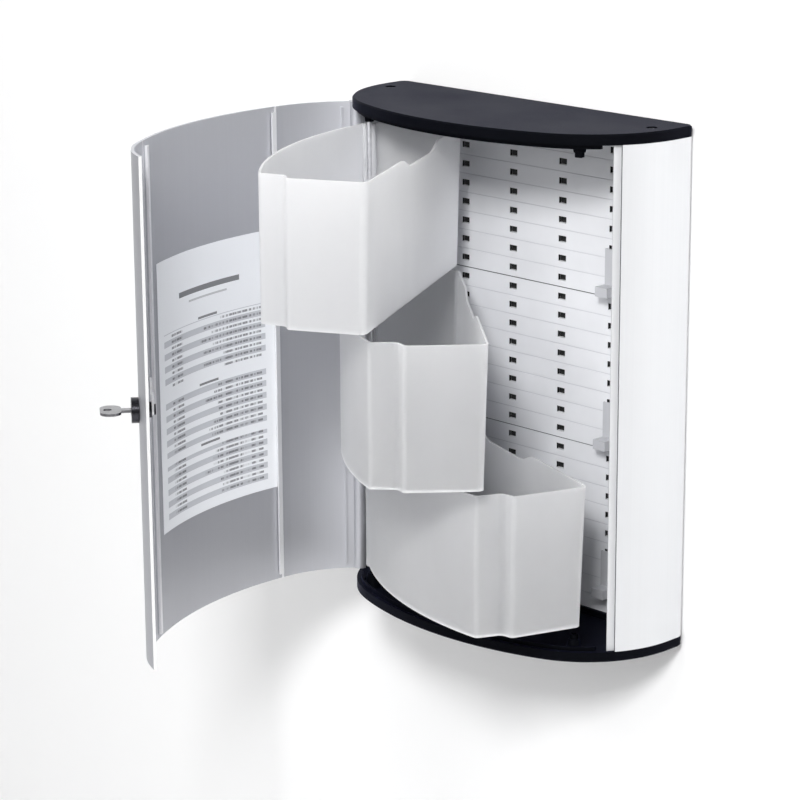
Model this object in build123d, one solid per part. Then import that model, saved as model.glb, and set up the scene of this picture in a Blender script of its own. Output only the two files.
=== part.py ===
"""First aid wall cabinet: aluminium profiles between two moulded caps, three swing-out trays.

Millimetres. X to the right, -Y out of the wall, +Z up. The origin lies on the wall plane,
in the middle of the four wall screw holes, half way up the cabinet.
The door is drawn closed and then turned open about its hinge; so are the trays, about their rod.
"""

from build123d import *
import math
import os

# Outside of the cabinet
width = 302.0
depth = 118.0
height = 400.0
front_radius = 271.0
side_radius = 86.5
back_corner_radius = 7.5

# Moulded caps at the top and the bottom
cap_rim_height = 8.0
cap_floor_thickness = 3.0
cap_edge_chamfer = 1.2
cap_pocket_inset = 6.0
cap_pocket_side_offset = 33.0
cap_pocket_back = 8.0
lip_inset = 3.4
lip_thickness = 1.6
lip_height = 3.2
lip_side_offset = 25.0

# Forked bosses of the caps, which hold the tray rod; the right-hand pair stays empty
boss_base_diameter = 14.0
boss_neck_diameter = 8.6
boss_cone_height = 15.0
fork_diameter = 7.0
fork_height = 18.5
fork_slit = 1.4

# Extruded profiles
profile_wall = 2.0
door_wall = 2.4
end_play = 0.2
fit_clearance = 0.1

# Hinge, a bead of the left profile inside a C-shaped socket of the door
hinge_angle = 29.0
hinge_outset = 1.2
hinge_bead_radius = 3.6
hinge_running_clearance = 0.08
hinge_socket_radius = 5.9
hinge_neck_thickness = 1.6
hinge_neck_length = 7.0
hinge_travel = 100.0
hinge_slot_margin = 17.5
door_open_angle = 75.9

# Free edge of the door and the rebate of the right profile behind it
groove_angle = 31.8
door_end_angle = 33.0
rebate_gap = 0.5
rebate_thickness = 1.5
rebate_end_angle = 35.6
wall_overlap_angle = 1.0

# Ribs on the inside of the door
rib_height = 2.2
rib_width = 1.4
rib_hook = 2.6
rib_root = 0.6
rib_hook_lift = 0.4
rib_end_cut = 4.0
hinge_rib_side_offset = 19.0
sheet_rib_left_x = -84.6
sheet_rib_right_x = 81.6

# Contents sheet, held under the left rib, standard A5
sheet_width = 148.0
sheet_height = 210.0
sheet_thickness = 0.3
sheet_clearance = 0.25
sheet_left_x = -82.4
sheet_bottom = 86.0

# Screws of the caps and their channels in the profiles
cap_screw_side_offset = 16.0
cap_screw_wall_offset = 30.5
screw_shank_diameter = 3.9
screw_bore_diameter = 4.0
screw_head_diameter = 7.4
screw_head_height = 2.2
screw_recess_diameter = 8.4
screw_recess_depth = 3.2
screw_length = 14.0
channel_wall = 1.6
channel_slot = 1.5

# Back panel of three slotted plates
plate_face = 5.0
plate_thickness = 2.8
plate_side_offset = 27.0
plate_pitch = 120.0
plate_margin = 20.0
flange_reach = 33.0
keeper_thickness = 1.4
keeper_reach = 7.0
slot_rows = 8
slot_row_pitch = 15.0
slot_column_pitch = 51.4
slot_width = 8.0
slot_height = 5.0
groove_width = 0.7
groove_depth = 0.5
wall_hole_diameter = 5.5
wall_hole_side_offset = 46.0
wall_hole_end_offset = 42.5
wall_pad_width = 12.0

# Trays and the rod that they swing on
rod_side_offset = 42.0
rod_front_offset = 39.0
rod_diameter = 4.0
rod_end_gap = 0.3
sleeve_diameter = 10.5
sleeve_bore_clearance = 0.1
tray_pitch = 119.6
tray_height = 109.2
tray_bottom = 31.1
tray_wall = 1.6
tray_back_draft = 1.6
tray_side_draft = 0.9
tray_corner_radius = 4.2
tray_right_corner_radius = 5.2
tray_flute_radius = 6.0
tray_back = 8.0
tray_left_offset = 30.0
tray_right_offset = 32.9
tray_flute_lean = 1.0
tray_flute_depth = 11.6
tray_flute_root_step = 3.9
tray_nose_inset = 14.0
tray_nose_offset = 25.2
tray_flute_start = 49.4
tray_front_radius = 300.0
tray_dip_left = -58.0
tray_dip_right = 31.0
tray_dip_depth = 6.8
tray_dip_slope = 16.0
tray_dip_radius = 20.0
tray_open_angles = {"tray_top": 61.6, "tray_middle": 40.6, "tray_bottom": 19.4}
sleeve_gap = 0.3
sleeve_mouth_width = 3.8
sleeve_mouth_angle = 15.0

# Rests that carry the closed trays
rest_width = 12.0
rest_height = 35.0
rest_thickness = 2.0
rest_shelf_reach = 13.0
rest_shelf_thickness = 7.5
rest_tray_gap = 0.4
rest_hook_clearance = 0.25

# Cam lock near the free edge of the door
lock_angle = 51.0
lock_height = 200.0
lock_head_diameter = 19.0
lock_head_height = 5.5
lock_barrel_diameter = 11.8
lock_barrel_reach = 6.9
lock_nut_across_flats = 16.0
lock_nut_thickness = 2.0
plug_diameter = 8.9
plug_clearance = 0.06
plug_front_recess = 0.3
plug_tang = 5.0
keyway_width = 6.4
keyway_height = 2.2
keyway_depth = 10.4
cam_thickness = 1.6
cam_width = 9.0
cam_reach = 24.2
cam_joggle = 1.0
cam_joggle_start = 11.0
cam_joggle_end = 14.0
cam_screw_head_diameter = 8.0
cam_screw_head_height = 1.5
cam_screw_length = 4.5

# Key in the lock
key_blade_width = 6.2
key_blade_thickness = 2.0
key_blade_length = 10.0
key_neck_length = 7.3
key_bow_length = 15.5
key_bow_width = 24.0
key_bow_corner = 7.2
key_hole_diameter = 6.2
key_hole_offset = 2.2

floor_z = -height / 2
profile_length = height - 2 * cap_rim_height
door_length = profile_length - 2 * end_play
side_centre_x = width / 2 - side_radius
front_centre_y = front_radius - depth
side_centre_y = front_centre_y - math.sqrt((front_radius - side_radius) ** 2 - side_centre_x**2)
rod_bore_diameter = rod_diameter + 2 * sleeve_bore_clearance
rebate_inset = door_wall + rebate_gap
far = 2 * width
rear_angle = 150.0
cap_screw_x = width / 2 - cap_screw_side_offset
cap_screw_y = -cap_screw_wall_offset
plate_half_width = width / 2 - plate_side_offset
wall_hole_x = width / 2 - wall_hole_side_offset
rod_x = -(width / 2 - rod_side_offset)
rod_y = -(depth - rod_front_offset)
rest_x = 1.5 * slot_column_pitch


def polar(centre, radius, angle):
    """Point at an angle in degrees, counter-clockwise from +X, about a centre."""
    turn = math.radians(angle)
    return (centre[0] + radius * math.cos(turn), centre[1] + radius * math.sin(turn))


def side_point(inset, angle, side=1):
    """Point of the rounded flank, at an angle in front of the side's own centre."""
    x, y = polar((side_centre_x, side_centre_y), side_radius - inset, -angle)
    return (side * x, y)


hinge_x, hinge_y = side_point(-hinge_outset, hinge_angle, -1)


def front_y(x, inset):
    """Depth of the front outline, set inwards by the inset, at one place across the width."""
    joint_x = side_centre_x * front_radius / (front_radius - side_radius)
    if abs(x) <= joint_x:
        return front_centre_y - math.sqrt((front_radius - inset) ** 2 - x**2)
    reach = abs(x) - side_centre_x
    return side_centre_y - math.sqrt((side_radius - inset) ** 2 - reach**2)


def body_outline(inset, back=None):
    """D-shaped plan of the cabinet, set inwards all round."""
    back_y = -inset if back is None else -back
    half = width / 2 - inset
    corner = max(back_corner_radius - inset, 1.0)
    corner_y = back_y - corner
    side = side_radius - inset
    front = front_radius - inset
    lean = math.degrees(math.atan2(front_centre_y - side_centre_y, side_centre_x))
    edges = [Line((-half + corner, back_y), (half - corner, back_y))]
    for mirror in (1, -1):
        start = (mirror * (half - corner), back_y)
        middle = (mirror * (half - corner + corner * math.cos(math.pi / 4)),
                  corner_y + corner * math.sin(math.pi / 4))
        edges.append(ThreePointArc(start, middle, (mirror * half, corner_y)))
        edges.append(Line((mirror * half, corner_y), (mirror * half, side_centre_y)))
        end_x, end_y = polar((side_centre_x, side_centre_y), side, -lean)
        mid_x, mid_y = polar((side_centre_x, side_centre_y), side, -lean / 2)
        edges.append(ThreePointArc((mirror * half, side_centre_y),
                                   (mirror * mid_x, mid_y), (mirror * end_x, end_y)))
    edges.append(ThreePointArc((end_x, end_y), (0, front_centre_y - front), (-end_x, end_y)))
    return make_face(edges)


def wall_band(outer, inner, back=None):
    """Ring of wall between two insets."""
    return body_outline(outer, back) - body_outline(inner, back)


def front_region(right_angle, left_angle):
    """Everything in front of two radial cuts through the flanks."""
    corners = [
        (side_centre_x, side_centre_y),
        polar((side_centre_x, side_centre_y), far, -right_angle),
        (far, -2 * far),
        (-far, -2 * far),
        polar((-side_centre_x, side_centre_y), far, 180 + left_angle),
        (-side_centre_x, side_centre_y),
    ]
    return make_face(Polyline(*corners, close=True))


def side_region(side, first_angle, second_angle):
    """Wedge of one flank between two angles in front of its centre."""
    centre = (side_centre_x, side_centre_y)
    corners = [centre, polar(centre, far, -first_angle), polar(centre, far, -second_angle)]
    return make_face(Polyline(*[(side * x, y) for x, y in corners], close=True))


def disc(centre, radius):
    return Pos(centre[0], centre[1]) * Circle(radius)


def bar(start, end, thickness):
    """Straight strip of the given thickness between two points."""
    length = math.dist(start, end)
    angle = math.degrees(math.atan2(end[1] - start[1], end[0] - start[0]))
    middle = ((start[0] + end[0]) / 2, (start[1] + end[1]) / 2)
    return Pos(*middle) * Rot(0, 0, angle) * Rectangle(length, thickness)


def prism(section, bottom, length):
    return Pos(0, 0, floor_z + bottom) * extrude(section, amount=length)


def swung(piece, x, y, angle):
    """The piece turned clockwise, seen from above, about an upright axis."""
    return Pos(x, y, 0) * Rot(0, 0, -angle) * Pos(-x, -y, 0) * piece


def opened(piece):
    """A piece of the closed door, carried to the open position."""
    return swung(piece, hinge_x, hinge_y, door_open_angle)


def write(name, piece):
    solids = piece.solids()
    shape = solids[0] if len(solids) == 1 else Compound(children=list(solids))
    export_step(shape, os.path.join("parts", name + ".step"))


# Caps


def forked_boss(x):
    """Cone that grips the rod between two prongs, standing on the floor of a cap."""
    seat = Align.CENTER, Align.CENTER, Align.MIN
    cone = Cone(boss_base_diameter / 2, boss_neck_diameter / 2,
                boss_cone_height - cap_floor_thickness, align=seat)
    fork = Cylinder(fork_diameter / 2, fork_height - boss_cone_height, align=seat)
    bore = Cylinder(rod_diameter / 2 + fit_clearance / 2, fork_height, align=seat)
    slit = Box(2 * fork_diameter, fork_slit, fork_height, align=seat)
    prongs = Pos(0, 0, boss_cone_height - cap_floor_thickness) * (fork - bore - slit)
    return Pos(x, rod_y, cap_floor_thickness) * (cone + prongs)


def cap():
    """Cap with its outer face down, at height zero."""
    blank = extrude(body_outline(0, 0), amount=cap_rim_height)
    outer_edges = blank.faces().sort_by(Axis.Z)[0].edges()
    blank = chamfer(outer_edges, cap_edge_chamfer)
    middle = Rectangle(width - 2 * cap_pocket_side_offset, 4 * depth)
    pocket = body_outline(cap_pocket_inset, cap_pocket_back) & middle
    body = blank - Pos(0, 0, cap_floor_thickness) * extrude(pocket, amount=cap_rim_height)
    lip_region = Pos(0, -depth) * Rectangle(width - 2 * lip_side_offset, 2 * (depth + side_centre_y))
    lip = wall_band(lip_inset, lip_inset + lip_thickness) & lip_region
    body += Pos(0, 0, cap_rim_height) * extrude(lip, amount=lip_height)
    for x in (rod_x, -rod_x):
        body += forked_boss(x)
    for x in (cap_screw_x, -cap_screw_x):
        hole = Cylinder(screw_bore_diameter / 2 + fit_clearance, 4 * cap_rim_height)
        recess = Cylinder(screw_recess_diameter / 2, 2 * screw_recess_depth)
        body -= Pos(x, cap_screw_y, 0) * (hole + recess)
    return body


def bottom_cap():
    return Pos(0, 0, floor_z) * cap()


def top_cap():
    return mirror(bottom_cap(), Plane.XY)


def cap_screw():
    """Screw with its head down, as it enters the bottom cap."""
    seat = Align.CENTER, Align.CENTER, Align.MIN
    head = Pos(0, 0, screw_recess_depth - screw_head_height) * Cylinder(
        screw_head_diameter / 2, screw_head_height, align=seat)
    shank = Pos(0, 0, screw_recess_depth) * Cylinder(
        screw_shank_diameter / 2, screw_length, align=seat)
    return head + shank


def bottom_cap_screws():
    screws = [Pos(x, cap_screw_y, floor_z) * cap_screw() for x in (-cap_screw_x, cap_screw_x)]
    return Compound(children=screws)


def top_cap_screws():
    return mirror(bottom_cap_screws(), Plane.XY)


# Side profiles


def side_frame(side, end_angle):
    """What both side profiles share: flank, wall flange, plate keeper and screw channel."""
    flange_end = side * (width / 2 - flange_reach)
    keeper_end = side * (plate_half_width + keeper_thickness)
    middle = Pos(side * (width / 2 - flange_reach / 2), 0) * Rectangle(flange_reach, 4 * depth)
    flank = wall_band(0, profile_wall) & (middle - side_region(side, end_angle, rear_angle))
    keeper_y = -(plate_face + fit_clearance + keeper_thickness / 2)
    keeper = bar((keeper_end, keeper_y), (keeper_end - side * keeper_reach, keeper_y),
                 keeper_thickness)
    stop_x = side * (plate_half_width + fit_clearance + keeper_thickness / 2)
    stop = bar((stop_x, -profile_wall / 2), (stop_x, keeper_y - keeper_thickness / 2),
               keeper_thickness)
    screw = (side * cap_screw_x, cap_screw_y)
    channel_radius = screw_bore_diameter / 2 + channel_wall
    web = bar(screw, (side * (width / 2 - profile_wall / 2), cap_screw_y), channel_wall)
    mouth = bar(screw, (screw[0] - side * 2 * channel_radius, screw[1]), channel_slot)
    channel = disc(screw, channel_radius) + web - disc(screw, screw_bore_diameter / 2) - mouth
    return flank + keeper + stop + channel


def right_side_section():
    step = wall_band(0, rebate_inset + rebate_thickness) & side_region(
        1, groove_angle - math.degrees(profile_wall / side_radius), groove_angle)
    rebate = wall_band(rebate_inset, rebate_inset + rebate_thickness) & side_region(
        1, groove_angle - wall_overlap_angle, rebate_end_angle)
    return side_frame(1, groove_angle) + step + rebate


def hinge_wall_end():
    """Angle on the flank at which the neck of the hinge bead starts."""
    return hinge_angle - math.degrees(hinge_neck_length / side_radius)


def left_side_section():
    end_angle = hinge_wall_end()
    root = side_point(profile_wall / 2, end_angle, -1)
    hinge = (hinge_x, hinge_y)
    neck = bar(root, hinge, hinge_neck_thickness) + disc(root, profile_wall / 2)
    bead = disc(hinge, hinge_bead_radius)
    return side_frame(-1, end_angle) + neck + bead


def right_side_profile():
    return prism(right_side_section(), cap_rim_height, profile_length)


def left_side_profile():
    return prism(left_side_section(), cap_rim_height, profile_length)


# Door


def neck_direction():
    """Direction from the hinge axis to the neck of the fixed bead."""
    root = side_point(profile_wall / 2, hinge_wall_end(), -1)
    return math.degrees(math.atan2(root[1] - hinge_y, root[0] - hinge_x))


def socket_slot():
    """Sector of the door's socket that stays open for the neck over the whole travel."""
    start = neck_direction() - hinge_slot_margin
    sweep = hinge_travel + 2 * hinge_slot_margin
    hinge = (hinge_x, hinge_y)
    corners = [hinge] + [polar(hinge, 3 * hinge_socket_radius, start + sweep * share)
                         for share in (0, 0.5, 1)]
    return make_face(Polyline(*corners, close=True))


def outline_frame(x, inset):
    """Point of the front outline at x, with its tangent angle in plan."""
    y = front_y(x, inset)
    step = 0.01
    rise = front_y(x + step, inset) - front_y(x - step, inset)
    return (x, y), math.degrees(math.atan2(rise, 2 * step))


def door_rib(x, hook):
    """Rib on the inside of the door; a hook of -1 or 1 leans it over to one side."""
    centre, angle = outline_frame(x, door_wall)
    rib = Pos(0, (rib_height - rib_root) / 2) * Rectangle(rib_width, rib_height + rib_root)
    if hook:
        rib += Pos(hook * rib_hook / 2, rib_height - rib_width / 2 + rib_hook_lift) * Rectangle(
            rib_hook + rib_width, rib_width)
    return Pos(*centre) * Rot(0, 0, angle) * rib


def door_section():
    hinge = (hinge_x, hinge_y)
    wall = wall_band(0, door_wall) & front_region(door_end_angle, hinge_angle + wall_overlap_angle)
    section = wall + disc(hinge, hinge_socket_radius)
    section -= disc(hinge, hinge_bead_radius + hinge_running_clearance)
    return section - socket_slot()


def door_ribs():
    """Ribs on the inside of the door, milled away at both ends to clear the lips of the caps."""
    section = door_rib(hinge_rib_side_offset - width / 2, 0)
    section += door_rib(sheet_rib_left_x, 1)
    section += door_rib(sheet_rib_right_x, -1)
    return prism(section, cap_rim_height + end_play + rib_end_cut, door_length - 2 * rib_end_cut)


def lock_plane():
    """Frame of the lock on the closed door: Z points outwards along the lock's axis."""
    centre, angle = outline_frame(side_point(0, lock_angle)[0], 0)
    outward = polar((0, 0), 1, angle - 90)
    return Plane(origin=(centre[0], centre[1], floor_z + lock_height),
                 x_dir=(0, 0, 1), z_dir=(outward[0], outward[1], 0))


def at_lock(piece):
    return lock_plane() * piece


def rod_of(diameter, start, end):
    """Cylinder along the lock's axis, from one depth to another, outwards positive."""
    return Pos(0, 0, min(start, end)) * Cylinder(
        diameter / 2, abs(end - start), align=(Align.CENTER, Align.CENTER, Align.MIN))


def door_profile():
    blank = prism(door_section(), cap_rim_height + end_play, door_length) + door_ribs()
    hole = at_lock(rod_of(lock_barrel_diameter + 2 * fit_clearance, -3 * door_wall, door_wall))
    return opened(blank - hole)


def insert_sheet():
    back = door_wall + sheet_clearance
    band = wall_band(back, back + sheet_thickness)
    span = Pos(sheet_left_x + sheet_width / 2, -depth) * Rectangle(sheet_width, 2 * depth)
    front = front_region(lock_angle, lock_angle)
    return opened(prism(band & span & front, sheet_bottom, sheet_height))


# Lock and key


def barrel_end():
    return -(door_wall + lock_barrel_reach)


def lock_housing():
    head = rod_of(lock_head_diameter, 0, lock_head_height)
    barrel = rod_of(lock_barrel_diameter, barrel_end(), 0)
    bore = rod_of(plug_diameter + 2 * plug_clearance, 2 * barrel_end(), 2 * lock_head_height)
    return opened(at_lock(head + barrel - bore))


def lock_nut():
    """Flat nut that clamps the housing, clear of the hollow inside of the door."""
    corner = lock_nut_across_flats / math.sqrt(3)
    inner = side_radius - door_wall
    seat = side_radius - math.sqrt(inner**2 - corner**2)
    nut = extrude(RegularPolygon(corner, 6), amount=lock_nut_thickness)
    bore = rod_of(lock_barrel_diameter + fit_clearance, -1, 2 * lock_nut_thickness)
    return opened(at_lock(Pos(0, 0, -seat - lock_nut_thickness) * (nut - bore)))


def lock_plug():
    front = lock_head_height - plug_front_recess
    core = rod_of(plug_diameter, barrel_end(), front)
    tang = Pos(0, 0, barrel_end() - cam_thickness) * Box(
        plug_tang, plug_tang, cam_thickness, align=(Align.CENTER, Align.CENTER, Align.MIN))
    keyway = Pos(0, 0, front - keyway_depth) * Box(
        keyway_height, keyway_width, keyway_depth + 1,
        align=(Align.CENTER, Align.CENTER, Align.MIN))
    screw_hole = rod_of(screw_bore_diameter, barrel_end() - 2 * cam_thickness,
                        barrel_end() - cam_thickness + cam_screw_length + fit_clearance)
    return opened(at_lock(core + tang - keyway - screw_hole))


def lock_cam():
    """Joggled lever that points up when the door is unlocked."""
    half = cam_thickness / 2
    line = [(-cam_width / 2, half), (cam_joggle_start, half),
            (cam_joggle_end, half + cam_joggle), (cam_reach, half + cam_joggle),
            (cam_reach, -half + cam_joggle), (cam_joggle_end, -half + cam_joggle),
            (cam_joggle_start, -half), (-cam_width / 2, -half)]
    side_view = make_face(Polyline(*line, close=True))
    plate = Rot(90, 0, 0) * extrude(side_view, amount=cam_width / 2, both=True)
    end_radius = cam_width / 2
    outline = SlotOverall(cam_reach + end_radius, cam_width)
    outline = Pos((cam_reach - end_radius) / 2, 0) * outline
    cutter = Pos(0, 0, -3 * cam_thickness) * extrude(outline, amount=6 * cam_thickness)
    hole = Box(plug_tang + fit_clearance, plug_tang + fit_clearance, 6 * cam_thickness)
    lever = (plate & cutter) - hole
    return opened(at_lock(Pos(0, 0, barrel_end() - half) * lever))


def cam_screw():
    seat = barrel_end() - cam_thickness
    head = rod_of(cam_screw_head_diameter, seat - cam_screw_head_height, seat)
    shank = rod_of(screw_shank_diameter, seat, seat + cam_screw_length)
    return opened(at_lock(head + shank))


def key():
    """Flat key, its bow level when the door is unlocked."""
    front = lock_head_height - plug_front_recess
    tip = front - key_blade_length
    bow_start = lock_head_height + key_neck_length
    bow_centre = bow_start + key_bow_length / 2
    blade = Pos(0, (tip + bow_centre) / 2) * Rectangle(key_blade_width, bow_centre - tip)
    bow = Pos(0, bow_centre) * RectangleRounded(key_bow_width, key_bow_length, key_bow_corner)
    hole = Pos(0, bow_centre + key_hole_offset) * Circle(key_hole_diameter / 2)
    outline = blade + bow - hole
    flat = Pos(0, 0, -key_blade_thickness / 2) * extrude(outline, amount=key_blade_thickness)
    return opened(at_lock(Rot(0, 0, 90) * Rot(90, 0, 0) * flat))


# Back panel


def row_heights(top):
    return [top - slot_row_pitch * (row + 0.5) for row in range(slot_rows)]


def slot_columns():
    return [slot_column_pitch * share for share in (-1.5, -0.5, 0.5, 1.5)]


def back_plate(top, bottom, pattern_top):
    """Plate between two heights, with eight rows of slots below pattern_top."""
    centre_y = -(plate_face - plate_thickness / 2)
    plate = Pos(0, centre_y, floor_z + (top + bottom) / 2) * Box(
        2 * plate_half_width, plate_thickness, top - bottom)
    slots = [Pos(x, centre_y, floor_z + z) * Box(slot_width, 2 * plate_thickness, slot_height)
             for x in slot_columns() for z in row_heights(pattern_top)]
    grooves = [Pos(0, -plate_face, floor_z + pattern_top - slot_row_pitch * row) * Box(
        2 * plate_half_width + 1, 2 * groove_depth, groove_width)
        for row in range(slot_rows + 1)]
    plate -= slots + grooves
    reach = plate_face - plate_thickness
    for x in (-wall_hole_x, wall_hole_x):
        for z in (wall_hole_end_offset, height - wall_hole_end_offset):
            if bottom < z < top:
                plate += Pos(x, -reach / 2, floor_z + z) * Box(wall_pad_width, reach, wall_pad_width)
                plate -= Pos(x, 0, floor_z + z) * Rot(90, 0, 0) * Cylinder(
                    wall_hole_diameter / 2, 4 * plate_face)
    return plate


def back_plates():
    """Upper, middle and lower plate; the outer two reach the rims of the caps."""
    top = height - plate_margin
    seams = [height - cap_rim_height, top - plate_pitch, top - 2 * plate_pitch, cap_rim_height]
    names = ("back_plate_upper", "back_plate_middle", "back_plate_lower")
    return {name: back_plate(seams[i], seams[i + 1], top - plate_pitch * i)
            for i, name in enumerate(names)}


# Trays


def flute_points():
    """Corners of the tray's fluted front: its back, its root and the nose."""
    back = (width / 2 - tray_right_offset - tray_flute_lean, -(depth - tray_flute_start))
    nose = (back[0] - tray_nose_inset + tray_flute_lean, -(depth - tray_nose_offset))
    root = (back[0] - tray_flute_depth + tray_flute_lean, back[1] - tray_flute_root_step)
    return back, root, nose


def tangent_arc_centre(nose):
    """Centre of the tray's front curve, which touches the sleeve and ends at the nose."""
    inner = tray_front_radius - sleeve_diameter / 2
    gap = math.dist((rod_x, rod_y), nose)
    along = (inner**2 - tray_front_radius**2 + gap**2) / (2 * gap)
    across = math.sqrt(inner**2 - along**2)
    ux, uy = (nose[0] - rod_x) / gap, (nose[1] - rod_y) / gap
    return (rod_x + along * ux - across * uy, rod_y + along * uy + across * ux)


def tray_corners():
    """Corners of a closed tray's plan with their radii; a minus marks a hollow one."""
    left = -(width / 2 - tray_left_offset)
    right = width / 2 - tray_right_offset
    back, root, nose = flute_points()
    return [
        ((left, -tray_back), tray_corner_radius),
        ((right, -tray_back), tray_right_corner_radius),
        (back, tray_corner_radius),
        (root, -tray_flute_radius),
        (nose, tray_corner_radius),
    ]


def tray_outline():
    """Plan of a closed tray at its rim; only the nose is rounded yet."""
    points = [point for point, radius in tray_corners()]
    corner, nose = points[0], points[-1]
    centre = tangent_arc_centre(nose)
    pivot = (rod_x, rod_y)
    radius = sleeve_diameter / 2
    touch_angle = math.degrees(math.atan2(pivot[1] - centre[1], pivot[0] - centre[0]))
    nose_angle = math.degrees(math.atan2(nose[1] - centre[1], nose[0] - centre[0]))
    touch = polar(pivot, radius, touch_angle)
    crest = polar(centre, tray_front_radius, (touch_angle + nose_angle) / 2)
    lean = math.degrees(math.atan2(corner[1] - pivot[1], corner[0] - pivot[0]))
    leave_angle = lean + math.degrees(math.acos(radius / math.dist(corner, pivot)))
    leave = polar(pivot, radius, leave_angle)
    turn = polar(pivot, radius, (leave_angle - 360 + touch_angle) / 2)
    edges = [Line(a, b) for a, b in zip(points, points[1:])]
    edges.append(ThreePointArc(nose, crest, touch))
    edges.append(ThreePointArc(touch, turn, leave))
    edges.append(Line(leave, corner))
    face = make_face(edges)
    tip = face.vertices().sort_by_distance((nose[0], nose[1], 0))[0]
    return fillet(tip, tray_corner_radius)


def tray_block(outline, length, growth):
    """Block below the rim: back and right side lean in downwards, upright corners are rounded."""
    block = Pos(0, 0, tray_height) * extrude(outline, amount=-length)
    rim = Plane(origin=(0, 0, tray_height), z_dir=(0, 0, -1))
    for direction, angle in ((Vector(0, 1, 0), tray_back_draft), (Vector(1, 0, 0), tray_side_draft)):
        leaning = [face for face in block.faces() if face.normal_at().dot(direction) > 0.999]
        block = draft(leaning, rim, angle)
    for point, radius in tray_corners()[:-1]:
        upright = [edge for edge in block.edges() if edge.bounding_box().size.Z > length / 2]
        top = (point[0], point[1], tray_height)
        corner = min(upright, key=lambda edge: min(math.dist(tuple(edge @ 0), top),
                                                   math.dist(tuple(edge @ 1), top)))
        block = fillet(corner, radius + growth if radius > 0 else -radius - growth)
    return block


def rim_dip():
    """Cutter for the shallow dip with soft ends in the rim of the back wall."""
    low = tray_height - tray_dip_depth
    high = tray_height + tray_dip_depth
    outer_left, outer_right = tray_dip_left - tray_dip_radius, tray_dip_right + tray_dip_radius
    bends = [(tray_dip_left, tray_height), (tray_dip_left + tray_dip_slope, low),
             (tray_dip_right - tray_dip_slope, low), (tray_dip_right, tray_height)]
    line = Polyline((outer_left, high), (outer_left, tray_height), *bends,
                    (outer_right, tray_height), (outer_right, high), close=True)
    profile = make_face(line)
    soft = [min(profile.vertices(), key=lambda v: math.dist((v.X, v.Y), bend)) for bend in bends]
    profile = fillet(soft, tray_dip_radius)
    band = extrude(profile, amount=tray_back, both=True)
    return Pos(0, -tray_back, 0) * Rot(90, 0, 0) * band


def tray(name, index):
    """One tray, open at its own angle; the sleeve reaches down to the tray below."""
    rim = tray_outline()
    shell = tray_block(rim, tray_height, 0)
    inside = offset(rim, amount=-tray_wall, kind=Kind.INTERSECTION)
    cavity = tray_block(inside, tray_height - tray_wall, -tray_wall)
    sleeve = Pos(rod_x, rod_y, tray_height) * Cylinder(
        sleeve_diameter / 2, tray_pitch - sleeve_gap, align=(Align.CENTER, Align.CENTER, Align.MAX))
    bore = Pos(rod_x, rod_y, 0) * Cylinder(rod_bore_diameter / 2, 4 * tray_height)
    mouth = Pos(rod_x, rod_y, tray_wall) * Rot(0, 0, sleeve_mouth_angle) * Box(
        sleeve_diameter, sleeve_mouth_width, tray_height, align=(Align.MIN, Align.CENTER, Align.MIN))
    piece = shell - cavity + (sleeve - mouth) - bore - rim_dip()
    lifted = Pos(0, 0, floor_z + tray_bottom + tray_pitch * index) * piece
    return swung(lifted, rod_x, rod_y, tray_open_angles[name])


def tray_pivot_rod():
    length = height - 2 * boss_cone_height - rod_end_gap
    return Pos(rod_x, rod_y, floor_z + boss_cone_height) * Cylinder(
        rod_diameter / 2, length, align=(Align.CENTER, Align.CENTER, Align.MIN))


def tray_rest(index):
    """Clip on the back panel whose shelf carries the free side of a closed tray."""
    shelf_top = tray_bottom + tray_pitch * index - rest_tray_gap
    bottom = shelf_top - rest_shelf_thickness
    face_y = -plate_face
    plate = Pos(rest_x, face_y - rest_thickness / 2, floor_z + bottom + rest_height / 2) * Box(
        rest_width, rest_thickness, rest_height)
    shelf = Pos(rest_x, face_y - rest_shelf_reach / 2,
                floor_z + shelf_top - rest_shelf_thickness / 2) * Box(
        rest_width, rest_shelf_reach, rest_shelf_thickness)
    body = plate + shelf
    hook_width = slot_width - 2 * rest_hook_clearance
    hook_height = slot_height - 2 * rest_hook_clearance
    heights = [z for plate_index in range(3)
               for z in row_heights(height - plate_margin - plate_pitch * plate_index)
               if bottom + slot_height / 2 < z < bottom + rest_height - slot_height / 2]
    for z in heights:
        body += Pos(rest_x, face_y + plate_thickness / 2, floor_z + z) * Box(
            hook_width, plate_thickness, hook_height)
    return body


def main():
    os.makedirs("parts", exist_ok=True)
    write("bottom_cap", bottom_cap())
    write("top_cap", top_cap())
    write("bottom_cap_screws", bottom_cap_screws())
    write("top_cap_screws", top_cap_screws())
    write("left_side_profile", left_side_profile())
    write("right_side_profile", right_side_profile())
    for name, plate in back_plates().items():
        write(name, plate)
    write("tray_pivot_rod", tray_pivot_rod())
    for index, name in enumerate(("tray_bottom", "tray_middle", "tray_top")):
        write(name, tray(name, index))
        write(name.replace("tray_", "tray_rest_"), tray_rest(index))
    write("door_profile", door_profile())
    write("insert_sheet", insert_sheet())
    write("lock_housing", lock_housing())
    write("lock_nut", lock_nut())
    write("lock_plug", lock_plug())
    write("lock_cam", lock_cam())
    write("cam_screw", cam_screw())
    write("key", key())


main()
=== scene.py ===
"""Looks of a first aid wall cabinet: finishes, wall, floor, light and camera.

Lengths are in metres, +Z is up and -Y points out of the wall. Tones are display colours, 0 to 255.
"""

import math

import bpy
from mathutils import Matrix, Vector

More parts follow.
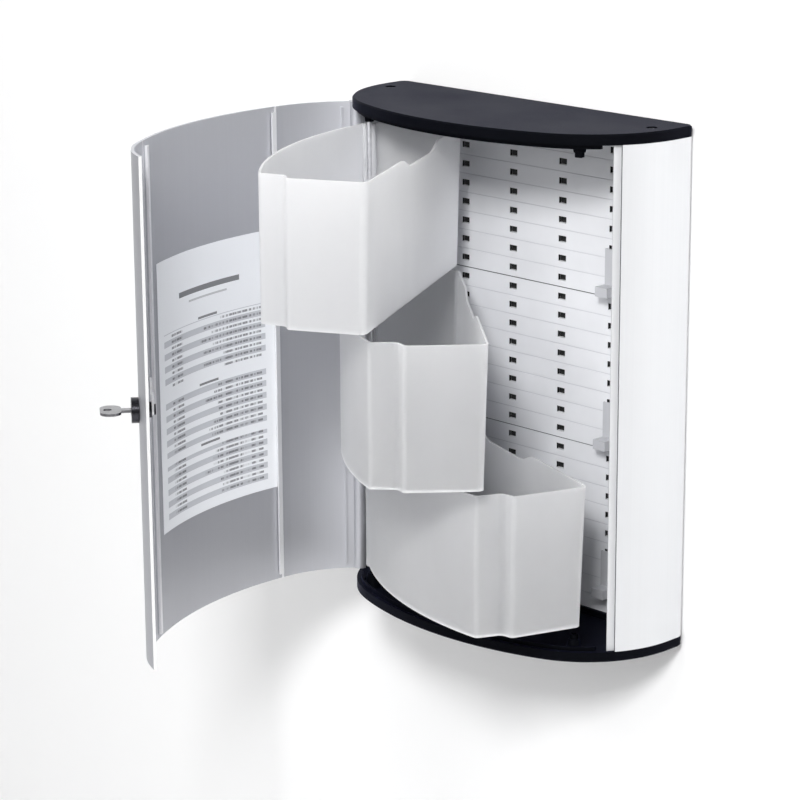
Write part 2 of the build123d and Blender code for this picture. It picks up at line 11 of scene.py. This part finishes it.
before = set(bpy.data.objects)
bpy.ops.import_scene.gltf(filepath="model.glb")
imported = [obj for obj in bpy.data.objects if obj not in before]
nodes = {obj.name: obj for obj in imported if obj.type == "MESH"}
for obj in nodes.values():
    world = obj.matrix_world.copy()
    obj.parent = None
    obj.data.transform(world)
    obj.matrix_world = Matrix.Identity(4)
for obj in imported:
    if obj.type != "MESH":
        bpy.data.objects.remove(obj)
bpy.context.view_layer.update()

# Where noise is cut, so that the middle of its range fills the whole of what it drives
wide_cut = (0.3, 0.7)
narrow_cut = (0.35, 0.65)

# Door: its hinge axis, how far it stands open at rest, and its finish
hinge = (-0.14120, -0.06238)
door_angle = math.radians(75.9)
door_finish = dict(tone=(205, 206, 211), rough=0.48, metallic=0.75)

# Door, as if closed: where its free edge and the crowns of its hooked ribs lie
free_edge_start = 0.125
free_edge_facing = 0.9
right_rib_span = (0.0780, 0.0850)
right_rib_crown = -0.1020
left_rib_span = (-0.0870, -0.0790)
left_rib_crown = -0.1018
# Painted highlights: the door's free edge face and its rib crowns are painted near white
edge_highlight_tone = (254, 254, 254)
crown_highlight_tone = (250, 250, 252)

# Side profiles: finish, centre of the right one's flank, and the step beside the door's rebate
profile_finish = dict(tone=(223, 224, 226), rough=0.42, metallic=0.3)
flank_centre = (0.0645, -0.01986)
step_span = (0.0838, 0.0867)
step_facing = (-0.527, -0.850)
step_agreement = 0.95
# Painted shade on the step beside the door's rebate
step_shade_tone = (92, 93, 96)

# Extruded aluminium: die lines, etched grain and large clouds
die_lines = dict(scale=900, detail=3.0, stretch=(1, 1, 0.004))
etched_grain = dict(scale=3500, detail=2.0)
metal_clouds = dict(scale=9, detail=3.0)
lines_share = 0.6
clouds_share = 0.4
dark_share = 0.93
rough_below = 0.04
rough_above = 0.05
grain_share = 0.5

# Caps: anthracite plastic
cap_tones = ((8, 9, 12), (12, 13, 17))
cap_rough = (0.42, 0.50)
cap_gloss = dict(Specular_IOR_Level=0.02, Sheen_Weight=0.035, Sheen_Roughness=0.5,
                 Sheen_Tint=(0.26, 0.30, 0.86, 1.0))

# Trays: milky plastic
tray_tones = ((226, 227, 231), (233, 234, 238))
tray_rough = (0.42, 0.50)
tray_depth = dict(Subsurface_Weight=1.0, Subsurface_Scale=0.022,
                  Subsurface_Radius=(1.0, 1.0, 1.0), IOR=1.35)

# Back plates and tray rests: light grey plastic
plate_tone = (238, 239, 242)
rest_tone = (198, 199, 203)
plate_dullness = 7
plate_rough = (0.42, 0.52)

# Back plates: depths at which slots and grooves start and end, and the seams between the plates
groove_mouth = -0.00492
slot_mouth = -0.00445
slot_back = -0.0023
# Painted shade: slot walls that don't face up are painted dark; sills facing up are left light
sill_facing = 0.5
seam_height = 0.060
seam_half_width = 0.00035
# Painted shade: faint in the snap grooves, dark at the seams, near black in the slots
groove_shade_tone = (216, 217, 221)
seam_shade_tone = (74, 75, 79)
slot_shade_tone = (14, 14, 16)

# Cap screws: where the right one stands, and the size and tone of the painted highlight cross in
# its head
screw_place = (0.135, -0.0305)
cross_half_width = 0.0007
cross_reach = 0.0026
cross_highlight_tone = (205, 207, 214)

# Small metal pieces: brush marks, dull patches, and how far roughness swings about its mean
brush_scale = 1500
chrome_brush_scale = 700
patch_scale = 260
metal_noise_detail = 3.0
worn_share = 0.85
rough_swing = (0.8, 1.25)

# Contents sheet on the closed door: its left and bottom edges, and its size
sheet_left = -0.0824
sheet_width = 0.148
sheet_bottom = -0.114
sheet_height = 0.210

# Contents sheet: distances from its left and its top edge
row_pitch = 0.0048
table_rows = 9
table_tops = (0.057, 0.110, 0.160)
sheet_margin = 0.010
bar_low = 0.0016
bar_high = 0.0034
bar_indent = 0.004
bar_shortest = 0.055
bar_longest = 0.085
code_column = 0.108
code_width = 0.018
title_top = 0.030
title_height = 0.0042
title_left = 0.036
subtitle_top = 0.0385
subtitle_height = 0.0016
subtitle_left = 0.050
head_left = 0.062

# Contents sheet: tones, how dense the print is, and how the bars break up like words
paper_tones = ((243, 245, 249), (251, 253, 255))
band_tone = (206, 208, 213)
bar_tone = (88, 88, 92)
bar_density = 0.75
heading_tone = (70, 70, 74)
heading_density = 0.8
subtitle_density = 0.5
word_noise = dict(scale=420, detail=1.0, stretch=(1, 1, 0.02))
word_gap_density = 0.2
word_cut = (0.42, 0.55)
paper_rough = (0.45, 0.6)

# Stage: reach of wall and floor, and their places
stage_reach = 4.0
wall_gap = 0.0015
floor_height = -1.1

# Wall: brightness, and the window behind the cabinet that light passes within a short way
wall_white = 0.97
wall_glow = 0.03
# Painted shade: the wall's colour behind the cabinet
hidden_wall_shade = 0.05
window_half_width = 0.138
window_half_height = 0.193
window_reach = 0.015

# Floor paint
floor_tones = ((222, 222, 223), (234, 234, 235))
floor_rough = (0.75, 0.9)
floor_gloss = 0.1
floor_glow = 0.30

# Lamps, all aimed at one point: name, place, side of the square and power
lamp_target = (0, -0.1, 0)
lamps = (
    ("key light", (1.30, -1.95, 1.42), 0.5, 52),
    ("top light", (-0.2, -2.2, 2.0), 1.3, 21),
    ("fill light", (0.95, -2.70, 0.80), 1.0, 9),
)
world_strength = 0.29
background_strength = 1.0

# Camera: where it stands, how it is turned, its focal length and sensor in mm, and its clipping
camera_place = (1.452, -1.573, 0.554)
camera_azimuth = math.radians(45.66)
camera_elevation = math.radians(15.41)
camera_roll = math.radians(-0.32)
focal_length = 127.4
sensor_width = 36
clip_start = 0.05
clip_end = 50


def linear(tone, share=1.0):
    """Scene colour of a display tone, darkened to a share of its light."""
    def one(v):
        v = v / 255
        return share * (v / 12.92 if v <= 0.04045 else ((v + 0.055) / 1.055) ** 2.4)
    return tuple(one(v) for v in tone) + (1.0,)


class Finish:
    """A node material around one principled shader, with short calls for its textures."""

    def __init__(self, name):
        self.material = bpy.data.materials.new(name)
        self.material.use_nodes = True
        self.tree = self.material.node_tree
        self.shader = self.tree.nodes["Principled BSDF"]
        self.place = self.node("ShaderNodeTexCoord").outputs["Object"]

    def node(self, kind, **settings):
        made = self.tree.nodes.new(kind)
        for key, value in settings.items():
            setattr(made, key, value)
        return made

    def link(self, source, target):
        self.tree.links.new(source, target)

    def fill(self, sockets, values):
        """Give each socket its number or colour, or link what drives it."""
        for socket, value in zip(sockets, values):
            if isinstance(value, (tuple, float, int)):
                socket.default_value = value
            else:
                self.link(value, socket)

    def set(self, **values):
        for key, value in values.items():
            self.shader.inputs[key.replace("_", " ")].default_value = value

    def noise(self, scale, detail, stretch=(1, 1, 1)):
        mapping = self.node("ShaderNodeMapping")
        self.fill((mapping.inputs["Vector"], mapping.inputs["Scale"]), (self.place, stretch))
        made = self.node("ShaderNodeTexNoise")
        self.fill((made.inputs["Vector"], made.inputs["Scale"], made.inputs["Detail"]),
                  (mapping.outputs["Vector"], scale, detail))
        return made.outputs["Fac"]

    def spread(self, value, low, high, cut=(0.0, 1.0)):
        """Map the cut of a value, from start to end, to low to high."""
        made = self.node("ShaderNodeMapRange")
        names = ("Value", "From Min", "From Max", "To Min", "To Max")
        self.fill([made.inputs[name] for name in names], (value, *cut, low, high))
        return made.outputs["Result"]

    def math(self, operation, *values):
        made = self.node("ShaderNodeMath", operation=operation)
        self.fill(made.inputs, values)
        return made.outputs["Value"]

    def product(self, first, *others):
        for other in others:
            first = self.math("MULTIPLY", first, other)
        return first

    def between(self, value, low, high):
        """One inside the interval, else zero."""
        above = self.math("GREATER_THAN", value, low)
        return self.product(above, self.math("LESS_THAN", value, high))

    def distance(self, value, centre):
        return self.math("ABSOLUTE", self.math("SUBTRACT", value, centre))

    def mixed(self, factor, first, second):
        made = self.node("ShaderNodeMix", data_type="RGBA")
        # The node has sockets for each data type: these are the colour's factor, A, B and result
        self.fill((made.inputs[0], made.inputs[6], made.inputs[7]), (factor, first, second))
        return made.outputs[2]

    def axes(self, source=None):
        split = self.node("ShaderNodeSeparateXYZ")
        self.link(source or self.place, split.inputs["Vector"])
        return split.outputs["X"], split.outputs["Y"], split.outputs["Z"]

    def facing(self):
        """Direction that the surface faces, in the object's own axes."""
        return self.axes(self.node("ShaderNodeTexCoord").outputs["Normal"])

    def on_closed_door(self):
        """Object coordinates as they are when the door is closed."""
        made = self.node("ShaderNodeVectorRotate", rotation_type="Z_AXIS")
        made.inputs["Center"].default_value = (*hinge, 0)
        made.inputs["Angle"].default_value = door_angle
        self.link(self.place, made.inputs["Vector"])
        return self.axes(made.outputs["Vector"])

    def seen(self):
        """One for rays that look at the surface, straight or through a reflection or glass."""
        paths = self.node("ShaderNodeLightPath").outputs
        looks = self.math("MAXIMUM", paths["Is Camera Ray"], paths["Is Glossy Ray"])
        return self.math("MAXIMUM", looks, paths["Is Transmission Ray"])

    def colour(self, source):
        self.link(source, self.shader.inputs["Base Color"])

    def roughness(self, source):
        self.link(source, self.shader.inputs["Roughness"])

    def bump(self, height, distance, strength):
        made = self.node("ShaderNodeBump")
        made.inputs["Strength"].default_value = strength
        made.inputs["Distance"].default_value = distance
        self.link(height, made.inputs["Height"])
        self.link(made.outputs["Normal"], self.shader.inputs["Normal"])


def aluminium(name, detail, tone, rough, metallic):
    """Satin anodised extrusion: faint die lines along the length and a fine etched grain."""
    finish = Finish(name)
    finish.set(Metallic=metallic)
    lines = finish.noise(**die_lines)
    grain = finish.noise(**etched_grain)
    clouds = finish.product(finish.noise(**metal_clouds), clouds_share)
    shade = finish.math("MULTIPLY_ADD", lines, lines_share, clouds)
    face = finish.mixed(shade, linear(tone, dark_share), linear(tone))
    finish.colour(detail(finish, face))
    finish.roughness(finish.spread(grain, rough - rough_below, rough + rough_above, wide_cut))
    relief = finish.math("MULTIPLY_ADD", grain, grain_share, lines)
    finish.bump(relief, distance=0.00002, strength=0.35)
    return finish.material


def door_painted_highlights(finish, face):
    """Painted highlights: the door's free edge face and the crowns of its two hooked ribs, painted
    near white.
    """
    x, y, _ = finish.on_closed_door()
    facing_x, _, _ = finish.facing()
    # Painted highlight on the free edge face, and below on the rib crowns
    edge = finish.product(finish.math("GREATER_THAN", facing_x, free_edge_facing),
                          finish.math("GREATER_THAN", x, free_edge_start))
    right_rib = finish.product(finish.between(x, *right_rib_span),
                               finish.math("GREATER_THAN", y, right_rib_crown))
    left_rib = finish.product(finish.between(x, *left_rib_span),
                              finish.math("GREATER_THAN", y, left_rib_crown))
    crowns = finish.math("MAXIMUM", right_rib, left_rib)
    return finish.mixed(edge, finish.mixed(crowns, face, linear(crown_highlight_tone)), linear(edge_highlight_tone))


def profile_painted_shade(finish, face):
    """Painted shade on the step where the flank ends beside the door's rebate."""
    x, y, _ = finish.axes()
    facing_x, facing_y, _ = finish.facing()
    across = finish.math("SUBTRACT", x, flank_centre[0])
    along = finish.math("SUBTRACT", y, flank_centre[1])
    square = finish.math("MULTIPLY_ADD", across, across, finish.product(along, along))
    radius = finish.math("SQRT", square)
    agreement = finish.math("MULTIPLY_ADD", facing_x, step_facing[0],
                            finish.product(facing_y, step_facing[1]))
    # Painted shade: the step's face is painted dark
    step = finish.product(finish.between(radius, *step_span),
                          finish.math("GREATER_THAN", agreement, step_agreement))
    return finish.mixed(step, face, linear(step_shade_tone))


def cap_plastic():
    """Anthracite moulding with an even spark-eroded grain and dust-dull patches."""
    finish = Finish("cap plastic")
    grain = finish.noise(scale=2600, detail=2.0)
    cloud = finish.noise(scale=14, detail=4.0)
    finish.colour(finish.mixed(finish.spread(cloud, 0.0, 1.0, narrow_cut), *map(linear, cap_tones)))
    finish.roughness(finish.spread(cloud, *cap_rough, wide_cut))
    finish.set(**cap_gloss)
    finish.bump(grain, distance=0.00008, strength=0.5)
    return finish.material


def tray_plastic():
    """Milky polypropylene, frosted, a little thicker in tone where the melt has flowed."""
    finish = Finish("tray plastic")
    cloud = finish.noise(scale=16, detail=4.0, stretch=(1, 1, 0.5))
    grain = finish.noise(scale=2200, detail=2.0)
    finish.colour(finish.mixed(finish.spread(cloud, 0.0, 1.0, wide_cut), *map(linear, tray_tones)))
    finish.roughness(finish.spread(grain, *tray_rough, wide_cut))
    finish.set(**tray_depth)
    finish.bump(grain, distance=0.00004, strength=0.4)
    return finish.material


def plate_plastic(name, tone, detail=None):
    """Light grey moulded panel with a fine grain."""
    finish = Finish(name)
    grain = finish.noise(scale=2400, detail=2.0)
    cloud = finish.noise(scale=20, detail=3.0)
    dull = tuple(v - plate_dullness for v in tone)
    face = finish.mixed(finish.spread(cloud, 0.0, 1.0, narrow_cut), linear(dull), linear(tone))
    finish.colour(detail(finish, face) if detail else face)
    finish.roughness(finish.spread(grain, *plate_rough, wide_cut))
    finish.bump(grain, distance=0.00005, strength=0.4)
    return finish.material


def plate_painted_shade(finish, face):
    """Painted shade: dark inner walls of the slots, whose sills facing up stay light, faint shade
    in the snap grooves and dark shade at the seams between the plates.
    """
    _, y, z = finish.axes()
    _, _, facing_z = finish.facing()
    # Painted shade on the slots' inner walls, in the grooves and at the seams
    in_slot = finish.product(finish.between(y, slot_mouth, slot_back),
                             finish.math("LESS_THAN", facing_z, sill_facing))
    in_groove = finish.between(y, groove_mouth, slot_mouth)
    from_seam = finish.distance(finish.math("ABSOLUTE", z), seam_height)
    at_seam = finish.math("LESS_THAN", from_seam, seam_half_width)
    groove_shaded = finish.mixed(in_groove, face, linear(groove_shade_tone))
    seam_shaded = finish.mixed(at_seam, groove_shaded, linear(seam_shade_tone))
    return finish.mixed(in_slot, seam_shaded, linear(slot_shade_tone))


def metal(name, tone, rough, stretch=(1, 1, 1), scale=brush_scale, metallic=1.0, detail=None):
    """Small metal pieces: fine brush marks and slightly duller patches."""
    finish = Finish(name)
    finish.set(Metallic=metallic)
    brush = finish.noise(scale, metal_noise_detail, stretch)
    patch = finish.noise(patch_scale, metal_noise_detail)
    face = finish.mixed(finish.spread(patch, 0.0, 1.0, narrow_cut),
                        linear(tone, worn_share), linear(tone))
    finish.colour(detail(finish, face) if detail else face)
    smooth, dull = (rough * share for share in rough_swing)
    finish.roughness(finish.spread(brush, smooth, dull, wide_cut))
    finish.bump(brush, distance=0.00002, strength=0.3)
    return finish.material


def screw_cross_highlight(finish, face):
    """Painted highlight: a light cross in each cap screw's head."""
    x, y, _ = finish.axes()
    across = finish.distance(finish.math("ABSOLUTE", x), screw_place[0])
    along = finish.distance(y, screw_place[1])
    arms = finish.math("LESS_THAN", finish.math("MINIMUM", across, along), cross_half_width)
    reach = finish.math("LESS_THAN", finish.math("MAXIMUM", across, along), cross_reach)
    # Painted highlight where the cross's arms meet within its reach
    return finish.mixed(finish.product(arms, reach), face, linear(cross_highlight_tone))


def sheet_paper():
    """Contents sheet: a plain heading bar, three ruled tables of short bars, and no lettering."""
    finish = Finish("contents sheet")
    x, _, z = finish.on_closed_door()
    along = finish.math("SUBTRACT", x, sheet_left)
    down = finish.math("SUBTRACT", sheet_bottom + sheet_height, z)
    row = finish.math("FLOOR", finish.math("DIVIDE", down, row_pitch))
    in_row = finish.math("SUBTRACT", down, finish.product(row, row_pitch))
    tables = 0.0
    heads = 0.0
    for top in table_tops:
        table = finish.between(down, top, top + table_rows * row_pitch)
        tables = finish.math("ADD", tables, table)
        heads = finish.math("ADD", heads, finish.between(down, top - row_pitch, top))

    inside = finish.between(along, sheet_margin, sheet_width - sheet_margin)
    band = finish.product(tables, finish.math("MODULO", row, 2.0), inside)
    line = finish.between(in_row, bar_low, bar_high)
    draw = finish.node("ShaderNodeTexWhiteNoise", noise_dimensions="1D")
    finish.link(row, draw.inputs["W"])
    bar_end = finish.spread(draw.outputs["Value"], bar_shortest, bar_longest)
    left_bar = finish.product(finish.math("GREATER_THAN", along, sheet_margin + bar_indent),
                              finish.math("LESS_THAN", along, bar_end))
    right_bar = finish.between(along, code_column, code_column + code_width)
    broken = finish.spread(finish.noise(**word_noise), word_gap_density, 1.0, word_cut)
    bars = finish.product(finish.math("MAXIMUM", left_bar, right_bar), broken, line, tables)

    def heading(top, height, left):
        """Bar in the middle of the sheet."""
        return finish.product(finish.between(down, top, top + height),
                              finish.between(along, left, sheet_width - left))

    title = heading(title_top, title_height, title_left)
    subtitle = heading(subtitle_top, subtitle_height, subtitle_left)
    middle = finish.between(along, head_left, sheet_width - head_left)
    headings = finish.math("MAXIMUM", title, finish.product(heads, line, middle))
    headings = finish.math("MAXIMUM", headings, finish.product(subtitle, subtitle_density))

    fibre = finish.noise(scale=1800, detail=3.0)
    paper = finish.mixed(fibre, *map(linear, paper_tones))
    banded = finish.mixed(band, paper, linear(band_tone))
    printed = finish.mixed(finish.product(bars, bar_density), banded, linear(bar_tone))
    finish.colour(finish.mixed(finish.product(headings, heading_density), printed,
                               linear(heading_tone)))
    finish.roughness(finish.spread(fibre, *paper_rough, wide_cut))
    finish.bump(fibre, distance=0.00002, strength=0.3)
    return finish.material


def dress(material, *names):
    for name in names:
        slots = nodes[name].data.materials
        slots.clear()
        slots.append(material)


def dress_all():
    dress(cap_plastic(), "top_cap", "bottom_cap")
    dress(aluminium("profile aluminium", profile_painted_shade, **profile_finish),
          "left_side_profile", "right_side_profile")
    dress(aluminium("door aluminium", door_painted_highlights, **door_finish), "door_profile")
    dress(plate_plastic("plate plastic", plate_tone, plate_painted_shade),
          "back_plate_upper", "back_plate_middle", "back_plate_lower")
    dress(plate_plastic("rest plastic", rest_tone),
          "tray_rest_top", "tray_rest_middle", "tray_rest_bottom")
    dress(tray_plastic(), "tray_top", "tray_middle", "tray_bottom")
    dress(metal("rod steel", tone=(225, 225, 228), rough=0.30, stretch=(1, 1, 0.01)),
          "tray_pivot_rod")
    dress(metal("black screws", tone=(30, 30, 33), rough=0.35, metallic=0.1, detail=screw_cross_highlight),
          "top_cap_screws", "bottom_cap_screws")
    dress(sheet_paper(), "insert_sheet")
    dress(metal("lock chrome", tone=(64, 64, 68), rough=0.22, scale=chrome_brush_scale),
          "lock_housing")
    dress(metal("dark zinc", tone=(38, 38, 41), rough=0.35), "lock_nut")
    dress(metal("plug zinc", tone=(180, 180, 184), rough=0.25), "lock_plug")
    dress(metal("cam zinc", tone=(240, 240, 242), rough=0.32, stretch=(1, 1, 0.1), metallic=0.4),
          "lock_cam")
    dress(metal("cam screw", tone=(60, 60, 64), rough=0.3), "cam_screw")
    dress(metal("key nickel", tone=(150, 150, 153), rough=0.22, stretch=(1, 1, 0.2)), "key")


def wall_material():
    """White wall that keeps shadows in front and doesn't hide the cabinet's back from behind.

    Behind the cabinet it is a window for light that the back plates throw a short way, so that they
    aren't black, and it is painted dark as shade, so that the slots look dark from the front.
    """
    finish = Finish("white wall")
    finish.tree.nodes.remove(finish.shader)
    x, _, z = finish.axes()
    beside = finish.math("GREATER_THAN", finish.math("ABSOLUTE", x), window_half_width)
    above = finish.math("GREATER_THAN", finish.math("ABSOLUTE", z), window_half_height)
    outside = finish.math("MAXIMUM", beside, above)
    seen = finish.seen()

    diffuse = finish.node("ShaderNodeBsdfDiffuse")
    # White outside the window, painted shade inside it
    white_with_painted_shade = finish.math("MAXIMUM", finish.product(outside, wall_white), hidden_wall_shade)
    finish.link(white_with_painted_shade, diffuse.inputs["Color"])
    glow = finish.node("ShaderNodeEmission")
    finish.link(finish.product(seen, outside, wall_glow), glow.inputs["Strength"])
    lit = finish.node("ShaderNodeAddShader")
    finish.fill(lit.inputs, (diffuse.outputs["BSDF"], glow.outputs["Emission"]))

    ray_length = finish.node("ShaderNodeLightPath").outputs["Ray Length"]
    inside = finish.math("SUBTRACT", 1.0, outside)
    unseen = finish.math("SUBTRACT", 1.0, seen)
    window = finish.product(inside, unseen, finish.math("LESS_THAN", ray_length, window_reach))
    from_behind = finish.node("ShaderNodeNewGeometry").outputs["Backfacing"]
    clear = finish.node("ShaderNodeBsdfTransparent")
    mix = finish.node("ShaderNodeMixShader")
    finish.fill(mix.inputs, (finish.math("MAXIMUM", from_behind, window),
                             lit.outputs["Shader"], clear.outputs["BSDF"]))
    finish.link(mix.outputs["Shader"], finish.tree.nodes["Material Output"].inputs["Surface"])
    return finish.material


def floor_material():
    """Pale painted floor, a little brighter to the eye than the lamps make it."""
    finish = Finish("floor paint")
    cloud = finish.noise(scale=3.0, detail=4.0)
    finish.colour(finish.mixed(cloud, *map(linear, floor_tones)))
    finish.roughness(finish.spread(cloud, *floor_rough))
    finish.set(Specular_IOR_Level=floor_gloss, Emission_Color=(1, 1, 1, 1))
    glow = finish.product(finish.seen(), floor_glow)
    finish.link(glow, finish.shader.inputs["Emission Strength"])
    return finish.material


def flat_sheet(name, corners, material):
    mesh = bpy.data.meshes.new(name)
    mesh.from_pydata(corners, [], [tuple(range(len(corners)))])
    mesh.materials.append(material)
    made = bpy.data.objects.new(name, mesh)
    bpy.context.scene.collection.objects.link(made)


def stage():
    r = stage_reach
    flat_sheet("wall", [(-r, wall_gap, floor_height), (r, wall_gap, floor_height),
                        (r, wall_gap, r), (-r, wall_gap, r)], wall_material())
    flat_sheet("floor", [(-r, -r, floor_height), (r, -r, floor_height),
                         (r, r, floor_height), (-r, r, floor_height)], floor_material())


def world_light():
    """Soft light from all around, which the camera sees as a white background."""
    world = bpy.data.worlds.new("studio")
    bpy.context.scene.world = world
    world.use_nodes = True
    tree = world.node_tree
    back = tree.nodes["Background"]
    paths = tree.nodes.new("ShaderNodeLightPath")
    strength = tree.nodes.new("ShaderNodeMapRange")
    strength.inputs["To Min"].default_value = world_strength
    strength.inputs["To Max"].default_value = background_strength
    tree.links.new(paths.outputs["Is Camera Ray"], strength.inputs["Value"])
    tree.links.new(strength.outputs["Result"], back.inputs["Strength"])
    back.inputs["Color"].default_value = (1, 1, 1, 1)


def area_light(name, place, size, power):
    data = bpy.data.lights.new(name, "AREA")
    data.shape = "SQUARE"
    data.size = size
    data.energy = power
    lamp = bpy.data.objects.new(name, data)
    bpy.context.scene.collection.objects.link(lamp)
    lamp.location = place
    aim = Vector(lamp_target) - Vector(place)
    lamp.rotation_euler = aim.to_track_quat("-Z", "Y").to_euler()


def place_camera():
    data = bpy.data.cameras.new("camera")
    data.lens = focal_length
    data.sensor_width = sensor_width
    data.clip_start = clip_start
    data.clip_end = clip_end
    camera = bpy.data.objects.new("camera", data)
    bpy.context.scene.collection.objects.link(camera)
    ahead = Vector((-math.sin(camera_azimuth) * math.cos(camera_elevation),
                    math.cos(camera_azimuth) * math.cos(camera_elevation),
                    -math.sin(camera_elevation)))
    right = Vector((math.cos(camera_azimuth), math.sin(camera_azimuth), 0))
    above = right.cross(ahead)
    turn = Matrix((right, above, -ahead)).transposed()
    turn = turn @ Matrix.Rotation(camera_roll, 3, "Z")
    camera.matrix_world = Matrix.Translation(camera_place) @ turn.to_4x4()
    bpy.context.scene.camera = camera


dress_all()
stage()
world_light()
for lamp in lamps:
    area_light(*lamp)
place_camera()
bpy.context.scene.view_settings.view_transform = "Standard"
